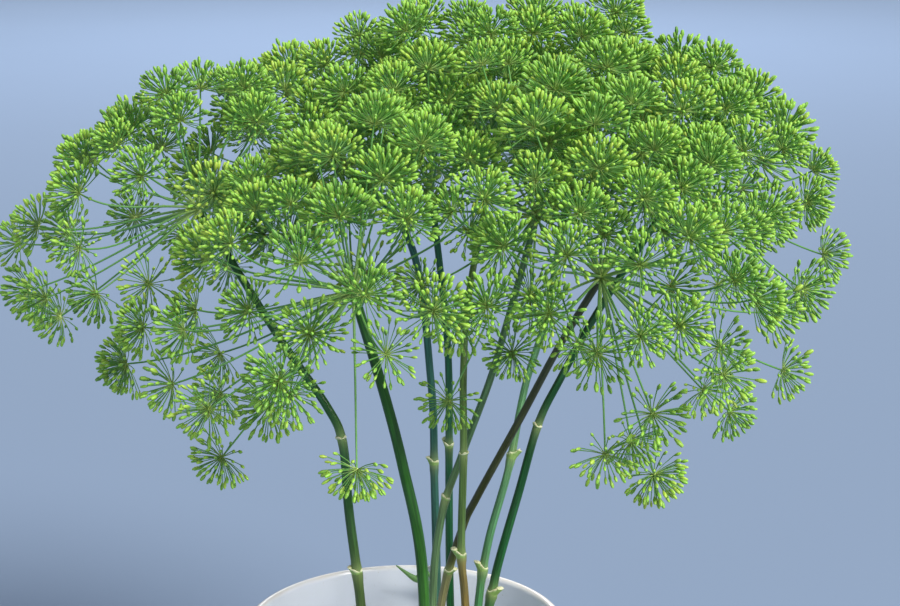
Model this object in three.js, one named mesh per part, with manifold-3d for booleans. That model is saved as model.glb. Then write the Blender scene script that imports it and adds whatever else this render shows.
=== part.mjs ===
// A bunch of nine cut dill stalks in green fruit, standing in a wide white glazed jar.
// Units are millimetres and +Z is up. The origin is the middle of the jar's flat base.
// Each stalk carries one umbel: a hub, its rays, and a faceted dome at the end of each ray
// that stands for the umbellet there, a small head of fruits on their own short stems.

import * as THREE from 'three';
import { mergeVertices } from 'three/addons/utils/BufferGeometryUtils.js';
import Module from 'manifold-3d';

const wasm = await Module();
wasm.setup();

// ---- driving dimensions ----

const JAR = {
  height: 153.5,
  radius: 80,
  baseRadius: 56,
  heelHeight: 40,
  wall: 4.6,
  floor: 7,
  sides: 40,
};

const STALK = { sides: 6, step: 22, footRadius: 1.06, topRadius: 0.74 };
const COLLAR = { below: 5, above: 3.5, half: 1.2, radius: 1.5 };
const HUB_RADIUS = 4.2;
const RAY = { sides: 3, baseRadius: 0.75, tipRadius: 0.5 };
const UMBELLET = { sides: 6, radius: 12, smallest: 6 };
const GAP = 0.3;

// How the umbels share the room between them: the distances that their umbellets and rays
// keep from each other and from the stalks, and how far the longest rays hang.
const ROOM = { umbellets: 25, umbelletToRay: 8, rays: 2.6, umbelletToStalk: 17, rayToStalk: 6 };
const SETTLING_STEPS = 80;
const LONGEST_MOVE = 4;
const INNER_RAY = 0.58;
const HANG = 0.16;
const UNEVENNESS = 0.09;
const GOLDEN_ANGLE = Math.PI * (3 - Math.sqrt(5));

// Each stalk's route runs from its foot on the jar's floor to the hub of its umbel. collars
// gives the heights of its cut leaf bases. The umbel spreads round axis by spread degrees,
// with rays as long as reach, and turn is where its first ray points. Its last rays hang low,
// and lowRays gives the places where they start to settle.
const STALKS = {
  a: {
    route: [[-12, -8, 8.2], [-16, -13, 90], [-21, -18, 169], [-26, -22, 219], [-28.5, -24, 254],
      [-36, -22.5, 272], [-60, -15, 306], [-97, 4, 362]],
    radius: 2.5, collars: [188, 257], colour: '#3f6b3a',
    rays: 32, reach: 92, spread: 106, axis: [-0.5, -0.1, 0.86], turn: 0.3,
    lowRays: [[-179, 0, 323], [-142, -34, 329], [-190, 30, 340]],
  },
  b: {
    route: [[14, -44, 8.2], [13.5, -60, 90], [12, -70.8, 150], [9.4, -75, 216], [1.7, -80, 260],
      [-6.3, -84, 295], [-19, -92, 343]],
    radius: 2.9, collars: [], colour: '#35642c',
    rays: 38, reach: 98, spread: 101, axis: [-0.38, -0.35, 0.87], turn: 1.1,
    lowRays: [[-123, -62, 303], [-94, -118, 309], [-81, -58, 307], [-78, -86, 296],
      [-53, -128, 302], [-42, -148, 313], [-75, -112, 275], [-34, -158, 339],
      [-16, -138, 278], [-1, -163, 337], [-105, -88, 329]],
  },
  c: {
    route: [[14, 38, 8.2], [16, 56, 90], [15.4, 70.9, 150], [14.2, 77.5, 200], [12.4, 80, 256],
      [2, 80, 330], [-30, 78, 370]],
    radius: 2.4, collars: [212], colour: '#3f7061',
    rays: 34, reach: 92, spread: 94, axis: [-0.35, 0.3, 0.87], turn: 2.0,
  },
  d: {
    route: [[30, 30, 8.2], [26, 33, 90], [22.7, 33, 148], [22, 28, 217], [22, 16, 274],
      [20, 8, 310], [14, -2, 368]],
    radius: 2.2, collars: [238], colour: '#2f6a41',
    rays: 32, reach: 84, spread: 88, axis: [-0.2, -0.15, 0.97], turn: 0.7,
  },
  e: {
    route: [[36, -14, 8.2], [33, -14, 90], [30, -15, 168], [28, -17, 197], [29, -18, 247],
      [29, -8, 285], [32, 14, 320], [46, 46, 386]],
    radius: 2.1, collars: [195], colour: '#5c7a42',
    rays: 32, reach: 86, spread: 84, axis: [0, 0.2, 0.98], turn: 4.1,
  },
  f: {
    route: [[20, -18, 8.2], [16, -18, 90], [14, -16, 170], [18.5, -13, 214], [27.5, -8.5, 241],
      [41, -18, 282], [48, -28, 310], [62, -38, 366]],
    radius: 2.1, collars: [222], colour: '#6b8663',
    rays: 34, reach: 84, spread: 92, axis: [0.1, -0.45, 0.89], turn: 5.2,
    lowRays: [[22, -98, 296], [26, -112, 335]],
  },
  g: {
    route: [[4, 14, 8.2], [11, 17, 90], [18.4, 16, 158], [28.5, 6, 200], [35.6, -4, 220],
      [55.7, -32, 269], [72, -56, 310], [88, -82, 347]],
    radius: 2.2, collars: [176], colour: '#55603a',
    rays: 40, reach: 94, spread: 97, axis: [0.3, -0.5, 0.81], turn: 1.3,
    lowRays: [[88, -120, 279], [101, -98, 278], [113, -84, 258], [107, -124, 298],
      [131, -102, 302], [146, -80, 286], [172, -62, 300], [48, -140, 332],
      [137, -114, 326], [69, -148, 343], [93, -160, 340]],
  },
  h: {
    route: [[24, 4, 8.2], [31, 4, 90], [36.6, 6, 159], [41.7, 8, 193], [51.8, 13, 230],
      [60, 28, 267], [72, 44, 305], [86, 76, 378]],
    radius: 2.2, collars: [179, 236], colour: '#5d9160',
    rays: 34, reach: 92, spread: 92, axis: [0.15, 0.3, 0.94], turn: 2.7,
  },
  i: {
    route: [[16, 26, 8.2], [29, 20, 90], [42.3, 16, 155], [47, 17, 178], [57.2, 18, 216],
      [66.4, 18, 251], [77, 18, 274], [96, 18, 310], [134, 16, 372]],
    radius: 2.4, collars: [163], colour: '#2b5d34',
    rays: 36, reach: 84, spread: 104, axis: [0.5, 0, 0.86], turn: 1.9,
  },
};

// ---- closed meshes and joins ----

// Shared vertices merged, and the flat triangles at a lathe's poles left out.
function closed(geometry) {
  geometry.deleteAttribute('normal');
  geometry.deleteAttribute('uv');
  const merged = mergeVertices(geometry, 1e-4);
  const corners = merged.index.array;
  const kept = [];
  for (let i = 0; i < corners.length; i += 3) {
    const [a, b, c] = corners.slice(i, i + 3);
    if (a !== b && b !== c && c !== a) kept.push(a, b, c);
  }
  merged.setIndex(kept);
  return merged;
}

function solidOf(geometry) {
  const mesh = closed(geometry);
  return new wasm.Manifold(new wasm.Mesh({
    numProp: 3,
    vertProperties: new Float32Array(mesh.attributes.position.array),
    triVerts: new Uint32Array(mesh.index.array),
  }));
}

function geometryOf(solid) {
  const mesh = solid.getMesh();
  const geometry = new THREE.BufferGeometry();
  geometry.setAttribute('position', new THREE.BufferAttribute(mesh.vertProperties, 3));
  geometry.setIndex(new THREE.BufferAttribute(mesh.triVerts, 1));
  geometry.computeVertexNormals();
  return geometry;
}

function finish(colour, roughness) {
  return new THREE.MeshStandardMaterial({ color: colour, roughness, metalness: 0 });
}

function named(name, geometry, material) {
  const mesh = new THREE.Mesh(geometry, material);
  mesh.name = name;
  return mesh;
}

// ---- the jar ----

// One profile, up the outside, over the round lip and down the inside.
function jarProfile() {
  const inner = JAR.radius - JAR.wall;
  const lip = JAR.wall / 2;
  const heel = JAR.heelHeight;
  const path = new THREE.Path();
  path.moveTo(0, 0);
  path.lineTo(JAR.baseRadius, 0);
  path.bezierCurveTo(JAR.radius - 8, 0, JAR.radius, heel * 0.4, JAR.radius, heel);
  path.lineTo(JAR.radius, JAR.height - lip);
  path.absarc(JAR.radius - lip, JAR.height - lip, lip, 0, Math.PI, false);
  path.lineTo(inner, heel + 2);
  path.bezierCurveTo(inner, heel * 0.5, inner - 7, JAR.floor, JAR.baseRadius - 2, JAR.floor);
  path.lineTo(0, JAR.floor);
  return path.getPoints(3);
}

function jar() {
  const geometry = new THREE.LatheGeometry(jarProfile(), JAR.sides);
  geometry.rotateX(Math.PI / 2);
  return named('jar', closed(geometry), finish('#e6ebf1', 0.14));
}

// ---- the stalks ----

const at = (point) => new THREE.Vector3(...point);

function routeOf(stalk) {
  return new THREE.CatmullRomCurve3(stalk.route.map(at), false, 'catmullrom', 0.5);
}

// How far along the curve a stalk reaches the height.
function distanceAtHeight(curve, length, height) {
  let distance = 0;
  while (distance < length && curve.getPointAt(distance / length).z < height) distance += 1;
  return distance;
}

// Radius and distance along the stalk, from the foot to just under the hub: an even taper,
// with a raised collar at each cut leaf base.
function stalkProfile(stalk, curve, length) {
  const top = length - HUB_RADIUS - GAP;
  const radiusAt = (distance) => {
    const share = distance / length;
    return stalk.radius * (STALK.footRadius + (STALK.topRadius - STALK.footRadius) * share);
  };
  const collars = stalk.collars.map((height) => distanceAtHeight(curve, length, height));
  const points = [];
  const rings = Math.round(top / STALK.step);
  for (let ring = 0; ring <= rings; ring += 1) {
    const distance = top * ring / rings;
    const clear = collars.every((collar) => (
      distance < collar - COLLAR.below - 2 || distance > collar + COLLAR.above + 2));
    if (clear) points.push([radiusAt(distance), distance]);
  }
  for (const collar of collars) {
    points.push([radiusAt(collar), collar - COLLAR.below]);
    points.push([radiusAt(collar) * COLLAR.radius, collar - COLLAR.half]);
    points.push([radiusAt(collar) * COLLAR.radius, collar + COLLAR.half]);
    points.push([radiusAt(collar), collar + COLLAR.above]);
  }
  points.sort((one, other) => one[1] - other[1]);
  return [[0, 0], ...points, [0, top]];
}

// A lathe turned straight up +Y, then bent so that its axis follows the curve.
function bentAlong(curve, length, profile, sides) {
  const points = profile.map(([radius, distance]) => new THREE.Vector2(radius, distance));
  const geometry = new THREE.LatheGeometry(points, sides);
  const position = geometry.attributes.position;
  const across = new THREE.Vector3();
  const ahead = new THREE.Vector3();
  const centre = new THREE.Vector3();
  for (let i = 0; i < position.count; i += 1) {
    const share = position.getY(i) / length;
    curve.getPointAt(share, centre);
    curve.getTangentAt(share, ahead);
    across.set(1, 0, 0).addScaledVector(ahead, -ahead.x).normalize();
    const outward = new THREE.Vector3().crossVectors(ahead, across);
    centre.addScaledVector(across, position.getZ(i));
    centre.addScaledVector(outward, position.getX(i));
    position.setXYZ(i, centre.x, centre.y, centre.z);
  }
  return geometry;
}

function stalk(name, spec) {
  const curve = routeOf(spec);
  const length = curve.getLength();
  const profile = stalkProfile(spec, curve, length);
  const geometry = closed(bentAlong(curve, length, profile, STALK.sides));
  return named(`stalk_${name}`, geometry, finish(spec.colour, 0.5));
}

// ---- where the rays end ----

// A steady spread of numbers from -1 to 1, so that no two rays are quite the same length.
function wobble(number) {
  const value = Math.sin(number * 12.9898) * 43758.5453;
  return 2 * (value - Math.floor(value)) - 1;
}

// Rays leave a hub at the golden angle, like seeds in a sunflower. The outer ones are the
// longest, and they hang a little.
function startingRays(spec, order) {
  const axis = at(spec.axis).normalize();
  const side = new THREE.Vector3().crossVectors(axis, new THREE.Vector3(0, 1, 0)).normalize();
  const front = new THREE.Vector3().crossVectors(axis, side);
  const hub = at(spec.route.at(-1));
  const spread = 1 - Math.cos(THREE.MathUtils.degToRad(spec.spread));
  const lowRays = spec.lowRays ?? [];
  const rays = [];
  for (let i = 0; i < spec.rays; i += 1) {
    const share = (i + 0.5) / spec.rays;
    const lean = Math.acos(1 - share * spread);
    const around = i * GOLDEN_ANGLE + spec.turn;
    const length = spec.reach * (INNER_RAY + (1 - INNER_RAY) * share)
      * (1 + UNEVENNESS * wobble(100 * order + i));
    const tip = hub.clone().addScaledVector(axis, length * Math.cos(lean));
    tip.addScaledVector(side, length * Math.cos(around) * Math.sin(lean));
    tip.addScaledVector(front, length * Math.sin(around) * Math.sin(lean));
    tip.z -= HANG * share * share * spec.reach;
    const low = lowRays[i - spec.rays + lowRays.length];
    rays.push({ hub, tip: low ? at(low) : tip, owner: order });
  }
  return rays;
}

function stalkSegments(specs) {
  return specs.flatMap((spec, owner) => spec.route.slice(1).map((end, i) => {
    const from = at(spec.route[i]);
    return { from, along: at(end).sub(from), owner };
  }));
}

const clamp = THREE.MathUtils.clamp;

// The nearest points of two segments: how far along each they lie, and the vector from the
// second to the first.
function nearest(from, along, otherFrom, otherAlong) {
  const apart = from.clone().sub(otherFrom);
  const a = along.lengthSq() + 1e-9;
  const c = otherAlong.lengthSq() + 1e-9;
  const b = along.dot(otherAlong);
  const f = apart.dot(otherAlong);
  const g = apart.dot(along);
  let s = clamp((b * f - g * c) / Math.max(a * c - b * b, 1e-6), 0, 1);
  const t = clamp((b * s + f) / c, 0, 1);
  s = clamp((b * t - g) / a, 0, 1);
  apart.addScaledVector(along, s).addScaledVector(otherAlong, -t);
  return { along: t, apart, distance: apart.length() };
}

// The run of a segment that is a single point.
const POINT = new THREE.Vector3();

// How hard a pair that is nearer than its room pushes apart, as a factor of its vector.
function push(pair, room) {
  return pair.distance > room ? 0 : (room - pair.distance) / Math.max(pair.distance, 1e-3);
}

// One step of settling: every ray's end moves away from what stands too near.
function settleOnce(rays, stems) {
  const reaches = rays.map((ray) => ray.tip.clone().sub(ray.hub));
  const moves = rays.map(() => new THREE.Vector3());
  rays.forEach((ray, i) => {
    rays.forEach((other, j) => {
      if (i === j) return;
      const tips = nearest(ray.tip, POINT, other.tip, POINT);
      moves[i].addScaledVector(tips.apart, 0.5 * push(tips, ROOM.umbellets));
      const through = nearest(ray.tip, POINT, other.hub, reaches[j]);
      const shove = 0.5 * push(through, ROOM.umbelletToRay);
      moves[i].addScaledVector(through.apart, shove);
      moves[j].addScaledVector(through.apart, -shove * through.along);
      if (ray.owner === other.owner) return;
      const crossing = nearest(ray.hub, reaches[i], other.hub, reaches[j]);
      moves[i].addScaledVector(crossing.apart, 0.7 * push(crossing, ROOM.rays));
    });
    stems.forEach((stem) => {
      const beside = nearest(ray.tip, POINT, stem.from, stem.along);
      moves[i].addScaledVector(beside.apart, push(beside, ROOM.umbelletToStalk));
      if (ray.owner === stem.owner) return;
      const past = nearest(ray.hub, reaches[i], stem.from, stem.along);
      moves[i].addScaledVector(past.apart, push(past, ROOM.rayToStalk));
    });
  });
  rays.forEach((ray, i) => ray.tip.addScaledVector(moves[i].clampLength(0, LONGEST_MOVE), 0.5));
}

function settledRays(specs) {
  const rays = specs.flatMap(startingRays);
  const stems = stalkSegments(specs);
  for (let step = 0; step < SETTLING_STEPS; step += 1) settleOnce(rays, stems);
  return rays;
}

// The largest dome that fits at a ray's end, clear of every other umbel and stalk.
function umbelletRadius(ray, rays, stems) {
  let radius = UMBELLET.radius;
  for (const other of rays) {
    if (other.owner === ray.owner) continue;
    const along = other.tip.clone().sub(other.hub);
    const tips = ray.tip.distanceTo(other.tip) / 2 - GAP;
    const beside = nearest(ray.tip, POINT, other.hub, along).distance - RAY.baseRadius - GAP;
    radius = Math.min(radius, tips, beside);
  }
  for (const stem of stems) {
    const beside = nearest(ray.tip, POINT, stem.from, stem.along).distance - HUB_RADIUS - GAP;
    radius = Math.min(radius, beside);
  }
  return Math.max(radius, UMBELLET.smallest);
}

// ---- the umbels ----

// A three-sided ray and the six-sided dome at its end, turned as one lathe up +Y. The ray's
// rings have each second corner moved onto the one before it.
function rayWithUmbellet(length, radius) {
  const rings = [
    [0, 0],
    [RAY.baseRadius, 0],
    [RAY.tipRadius, length - radius * 0.35],
    [radius * 0.97, length + radius * 0.2],
    [0, length + radius],
  ];
  const lastOfRay = 2;
  const points = rings.map(([x, y]) => new THREE.Vector2(x, y));
  const geometry = new THREE.LatheGeometry(points, UMBELLET.sides);
  const position = geometry.attributes.position;
  const corners = UMBELLET.sides / RAY.sides;
  for (let i = 0; i < position.count; i += 1) {
    const ring = i % rings.length;
    const side = Math.floor(i / rings.length);
    if (ring <= lastOfRay) {
      const angle = Math.floor(side / corners) * 2 * Math.PI / RAY.sides;
      const [x, y] = rings[ring];
      position.setXYZ(i, x * Math.sin(angle), y, x * Math.cos(angle));
    }
  }
  return geometry;
}

function umbel(name, hub, rays) {
  const up = new THREE.Vector3(0, 1, 0);
  const knob = new THREE.IcosahedronGeometry(HUB_RADIUS);
  knob.translate(hub.x, hub.y, hub.z);
  let solid = solidOf(knob);
  for (const ray of rays) {
    const along = ray.tip.clone().sub(hub);
    const geometry = rayWithUmbellet(along.length(), ray.radius);
    geometry.applyQuaternion(new THREE.Quaternion().setFromUnitVectors(up, along.normalize()));
    geometry.translate(hub.x, hub.y, hub.z);
    solid = solid.add(solidOf(geometry));
  }
  return named(`umbel_${name}`, geometryOf(solid), finish('#6f9c38', 0.55));
}

// ---- the bunch ----

const bunch = new THREE.Group();
bunch.add(jar());

const names = Object.keys(STALKS);
const specs = Object.values(STALKS);
const rays = settledRays(specs);
const stems = stalkSegments(specs);
for (const ray of rays) ray.radius = umbelletRadius(ray, rays, stems);

names.forEach((name, order) => {
  const spec = STALKS[name];
  bunch.add(stalk(name, spec));
  bunch.add(umbel(name, at(spec.route.at(-1)), rays.filter((ray) => ray.owner === order)));
});

export default bunch;
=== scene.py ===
"""A bunch of dill in green fruit, standing in a white glazed jar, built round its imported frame.

Nine cut stalks stand in the jar. Each carries one umbel: rays that leave a small hub, and at the
end of each ray an umbellet of fruits on their own short stems. Lengths in the tables are in
millimetres, and Blender's are in metres.
"""

import math

import bpy
import numpy as np
from bpy.props import FloatProperty, FloatVectorProperty, IntProperty, PointerProperty
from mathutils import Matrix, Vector


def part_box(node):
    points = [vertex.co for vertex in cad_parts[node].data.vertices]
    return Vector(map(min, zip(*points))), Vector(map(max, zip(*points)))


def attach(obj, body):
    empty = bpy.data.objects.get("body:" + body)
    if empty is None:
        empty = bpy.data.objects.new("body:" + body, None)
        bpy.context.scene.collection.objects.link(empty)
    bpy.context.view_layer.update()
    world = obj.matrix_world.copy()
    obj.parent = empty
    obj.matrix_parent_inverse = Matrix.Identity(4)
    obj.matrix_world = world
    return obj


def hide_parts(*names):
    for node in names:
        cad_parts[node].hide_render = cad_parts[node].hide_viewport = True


bl_info = {
    "name": "Dill bunch",
    "version": (1, 0, 0),
    "blender": (4, 5, 0),
    "location": "3D View > Sidebar > Dill",
    "description": "Builds a bunch of dill in green fruit in a glazed jar",
    "category": "Add Mesh",
}

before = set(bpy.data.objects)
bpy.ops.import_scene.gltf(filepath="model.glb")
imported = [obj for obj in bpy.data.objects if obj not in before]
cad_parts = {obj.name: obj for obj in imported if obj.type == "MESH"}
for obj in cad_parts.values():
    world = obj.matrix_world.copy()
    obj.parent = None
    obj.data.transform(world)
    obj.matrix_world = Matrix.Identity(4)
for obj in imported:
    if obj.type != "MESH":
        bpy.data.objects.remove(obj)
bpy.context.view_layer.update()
MM = 0.001
GOLDEN_ANGLE = math.pi * (3 - math.sqrt(5))
UP = np.array([0.0, 0.0, 1.0])

# ---- the plan of the bunch ----

JAR_WALL = 4.6
JAR_FLOOR = 7.0
JAR_HEEL = 40.0

# The rays' ends settle until they keep these distances from each other and from the stalks.
UMBELLET_ROOM, UMBELLET_RAY_ROOM, RAY_ROOM = 25.0, 8.0, 2.6
UMBELLET_STALK_ROOM, RAY_STALK_ROOM = 17.0, 6.0
SETTLING_STEPS = 80
LONGEST_MOVE = 4.0
INNER_RAY = 0.58
HANG = 0.16
UNEVENNESS = 0.09

# route runs from a stalk's foot to the hub of its umbel. collars gives the height of each cut
# leaf base, the direction its stub points in degrees from +X towards +Y, and its size. low and
# high are the stalk's colours, and change is the height in metres between which they blend.
# low_rays gives the places where the last rays, which hang, start to settle. nodding counts
# those of them whose umbellets face where their ray points, where the others turn outward.
STALKS = {
    "a": dict(
        route=[(-12, -8, 8.2), (-16, -13, 90), (-21, -18, 169), (-26, -22, 219),
               (-28.5, -24, 254), (-36, -22.5, 272), (-60, -15, 306), (-97, 4, 362)],
        radius=2.5, collars=[(188, 190, 0.8), (257, 200, 0.25)], low="#485a24", high="#235824",
        rays=32, reach=92, spread=106, axis=(-0.5, -0.1, 0.86), turn=0.3,
        low_rays=[(-179, 0, 323), (-142, -34, 329), (-190, 30, 340)]),
    "b": dict(
        route=[(14, -44, 8.2), (13.5, -60, 90), (12, -70.8, 150), (9.4, -75, 216),
               (1.7, -80, 260), (-6.3, -84, 295), (-19, -92, 343)],
        radius=2.9, collars=[], low="#315f18", high="#275817",
        rays=38, reach=98, spread=101, axis=(-0.38, -0.35, 0.87), turn=1.1,
        low_rays=[(-123, -62, 303), (-94, -118, 309), (-81, -58, 307), (-78, -86, 296),
                  (-53, -128, 302), (-42, -148, 313), (-75, -112, 275), (-34, -158, 339),
                  (-16, -138, 278), (-1, -163, 337), (-105, -88, 329)],
        nodding=[8]),
    "c": dict(
        route=[(14, 38, 8.2), (16, 56, 90), (15.4, 70.9, 150), (14.2, 77.5, 200),
               (12.4, 80, 256), (2, 80, 330), (-30, 78, 370)],
        radius=2.4, collars=[(212, 180, 0.85)], low="#2f5c4e", high="#2c5e50",
        rays=34, reach=92, spread=94, axis=(-0.35, 0.3, 0.87), turn=2.0),
    "d": dict(
        route=[(30, 30, 8.2), (26, 33, 90), (22.7, 33, 148), (22, 28, 217), (22, 16, 274),
               (20, 8, 310), (14, -2, 368)],
        radius=2.2, collars=[(238, 150, 0.75)], low="#1d5a2c", high="#235c3a",
        rays=32, reach=84, spread=88, axis=(-0.2, -0.15, 0.97), turn=0.7),
    "e": dict(
        route=[(36, -14, 8.2), (33, -14, 90), (30, -15, 168), (28, -17, 197), (29, -18, 247),
               (29, -8, 285), (32, 14, 320), (46, 46, 386)],
        radius=2.1, collars=[(195, 185, 1.15), (247, 350, 0.3)], low="#7d6c36", high="#5a7838",
        change=(0.192, 0.197),
        rays=32, reach=86, spread=84, axis=(0.0, 0.2, 0.98), turn=4.1),
    "f": dict(
        route=[(20, -18, 8.2), (16, -18, 90), (14, -16, 170), (18.5, -13, 214),
               (27.5, -8.5, 241), (41, -18, 282), (48, -28, 310), (62, -38, 366)],
        radius=2.1, collars=[(222, 170, 0.5)], low="#5f7c52", high="#56784c",
        rays=34, reach=84, spread=92, axis=(0.1, -0.45, 0.89), turn=5.2,
        low_rays=[(22, -98, 296), (26, -112, 335)]),
    "g": dict(
        route=[(4, 14, 8.2), (11, 17, 90), (18.4, 16, 158), (28.5, 6, 200), (35.6, -4, 220),
               (55.7, -32, 269), (72, -56, 310), (88, -82, 347)],
        radius=2.2, collars=[(176, 340, 0.8)], low="#7c7a52", high="#444820",
        change=(0.170, 0.180),
        rays=40, reach=94, spread=97, axis=(0.3, -0.5, 0.81), turn=1.3,
        low_rays=[(88, -120, 279), (101, -98, 278), (113, -84, 258), (107, -124, 298),
                  (131, -102, 302), (146, -80, 286), (172, -62, 300),
                  (48, -140, 332), (137, -114, 326), (69, -148, 343), (93, -160, 340)]),
    "h": dict(
        route=[(24, 4, 8.2), (31, 4, 90), (36.6, 6, 159), (41.7, 8, 193), (51.8, 13, 230),
               (60, 28, 267), (72, 44, 305), (86, 76, 378)],
        radius=2.2, collars=[(179, 200, 1.2), (236, 340, 1.05)], low="#3f7a48", high="#5c9060",
        rays=34, reach=92, spread=92, axis=(0.15, 0.3, 0.94), turn=2.7),
    "i": dict(
        route=[(16, 26, 8.2), (29, 20, 90), (42.3, 16, 155), (47, 17, 178), (57.2, 18, 216),
               (66.4, 18, 251), (77, 18, 274), (96, 18, 310), (134, 16, 372)],
        radius=2.4, collars=[(163, 330, 1.2), (250, 190, 0.3)], low="#1f5c2a", high="#174a22",
        rays=36, reach=84, spread=104, axis=(0.5, 0.0, 0.86), turn=1.9),
}


# The splines of the leaf remnant on stalk c: places, and radii in millimetres.
LEAF_REMNANT = [
    ([(14.6, 69, 141), (10, 64, 149), (3.5, 60, 153), (-6, 58, 161)], [1.2, 1.6, 1.7, 0.3]),
    ([(4, 60, 153), (7.5, 60, 156.5), (9, 60, 161)], [0.9, 0.8, 0.1]),
    ([(14, 68.5, 146), (12, 67, 151), (8.5, 66, 158)], [0.9, 0.9, 0.2]),
]
LEAF_COLOURS = dict(low="#6d9a5c", high="#6d9a5c")


def unit(vectors):
    vectors = np.asarray(vectors, float)
    return vectors / np.linalg.norm(vectors, axis=-1, keepdims=True)


def wobble(number):
    """A steady spread of numbers from -1 to 1."""
    return 2 * ((math.sin(number * 12.9898) * 43758.5453) % 1.0) - 1


def starting_rays():
    """Hub, tip and owner of every ray: at the golden angle round the hub, the outer ones
    longest."""
    hubs, tips, owners = [], [], []
    for order, spec in enumerate(STALKS.values()):
        axis = unit(spec["axis"])
        side = unit(np.cross(axis, (0, 1, 0)))
        front = np.cross(axis, side)
        hub = np.array(spec["route"][-1], float)
        spread = 1 - math.cos(math.radians(spec["spread"]))
        low_rays = spec.get("low_rays", [])
        for i in range(spec["rays"]):
            share = (i + 0.5) / spec["rays"]
            lean = math.acos(1 - share * spread)
            around = i * GOLDEN_ANGLE + spec["turn"]
            length = spec["reach"] * (INNER_RAY + (1 - INNER_RAY) * share)
            length *= 1 + UNEVENNESS * wobble(100 * order + i)
            outward = side * math.cos(around) + front * math.sin(around)
            tip = hub + length * (axis * math.cos(lean) + outward * math.sin(lean))
            tip[2] -= HANG * share * share * spec["reach"]
            low = i - spec["rays"] + len(low_rays)
            hubs.append(hub)
            tips.append(np.array(low_rays[low], float) if low >= 0 else tip)
            owners.append(order)
    return np.array(hubs), np.array(tips), np.array(owners)


def nearest(start, along, other, other_along):
    """For every pair of segments, how far along the second the nearest point lies, and the
    vector from there to the nearest point of the first."""
    apart = start[:, None] - other[None]
    a = (along * along).sum(1)[:, None] + 1e-9
    c = (other_along * other_along).sum(1)[None] + 1e-9
    b = along @ other_along.T
    f = (apart * other_along[None]).sum(2)
    g = (apart * along[:, None]).sum(2)
    s = np.clip((b * f - g * c) / np.maximum(a * c - b * b, 1e-6), 0, 1)
    t = np.clip((b * s + f) / c, 0, 1)
    s = np.clip((b * t - g) / a, 0, 1)
    return t, apart + s[..., None] * along[:, None] - t[..., None] * other_along[None]


def pushes(vectors, room, skipped=False):
    """The push on each pair that is nearer than its room."""
    distance = np.linalg.norm(vectors, axis=2)
    near = np.where(skipped | (distance > room), 0, room - distance)
    return (near / np.maximum(distance, 1e-3))[..., None] * vectors


def settled_rays():
    hubs, tips, owners = starting_rays()
    point = np.zeros_like(tips)
    itself = np.eye(len(tips), dtype=bool)
    same_umbel = owners[:, None] == owners[None]
    stems, stem_runs, stem_owners = [], [], []
    for order, spec in enumerate(STALKS.values()):
        route = np.array(spec["route"], float)
        stems.extend(route[:-1])
        stem_runs.extend(np.diff(route, axis=0))
        stem_owners.extend([order] * (len(route) - 1))
    stems, stem_runs = np.array(stems), np.array(stem_runs)
    own_stalk = owners[:, None] == np.array(stem_owners)[None]
    for _ in range(SETTLING_STEPS):
        reaches = tips - hubs
        _, apart = nearest(tips, point, tips, point)
        moves = 0.5 * pushes(apart, UMBELLET_ROOM, itself).sum(1)
        along, apart = nearest(tips, point, hubs, reaches)
        shove = 0.5 * pushes(apart, UMBELLET_RAY_ROOM, itself)
        moves += shove.sum(1) - (shove * along[..., None]).sum(0)
        _, apart = nearest(hubs, reaches, hubs, reaches)
        moves += 0.7 * pushes(apart, RAY_ROOM, same_umbel).sum(1)
        _, apart = nearest(tips, point, stems, stem_runs)
        moves += pushes(apart, UMBELLET_STALK_ROOM).sum(1)
        _, apart = nearest(hubs, reaches, stems, stem_runs)
        moves += pushes(apart, RAY_STALK_ROOM, own_stalk).sum(1)
        length = np.linalg.norm(moves, axis=1, keepdims=True)
        tips = tips + 0.5 * moves * np.minimum(1, LONGEST_MOVE / np.maximum(length, 1e-9))
    return hubs, tips, owners


# ---- settings ----

def linear(colour):
    """An sRGB hex colour as linear red, green, blue and alpha."""
    parts = [int(colour[i:i + 2], 16) / 255 for i in (1, 3, 5)]
    return tuple(p / 12.92 if p <= 0.04045 else ((p + 0.055) / 1.055) ** 2.4 for p in parts) + (1,)


def colour_property(name, description, colour):
    return FloatVectorProperty(
        name=name, description=description, subtype="COLOR", size=4, min=0, max=1,
        default=linear(colour))


def length_property(name, description, millimetres):
    return FloatProperty(
        name=name, description=description, default=millimetres * MM, min=0.01 * MM,
        unit="LENGTH", subtype="DISTANCE", precision=5)


class DillSizes(bpy.types.PropertyGroup):
    fruit_length: length_property("Fruit length", "Length of one fruit", 3.8)
    fruit_width: length_property("Fruit width", "Width of one fruit", 1.7)
    fruit_stem: length_property("Fruit stem", "Length of the stem of an inner fruit", 9.2)
    fruit_stem_gain: length_property(
        "Outer stem gain", "How much longer outer fruit stems are", 2.4)
    fruit_stem_width: length_property("Fruit stem width", "Thickness of a fruit's stem", 0.4)
    eye_width: length_property("Eye width", "Width of the knob that fruit stems leave", 1.9)
    ray_foot_width: length_property("Ray foot width", "Thickness of a ray at its hub", 1.35)
    ray_tip_width: length_property("Ray tip width", "Thickness of a ray at its end", 0.8)
    hub_width: length_property("Hub width", "Width of the knob that the rays leave", 5.4)
    most_fruits: IntProperty(
        name="Fruits", description="Fruits in the fullest umbellet", default=84, min=45, max=90)


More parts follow.
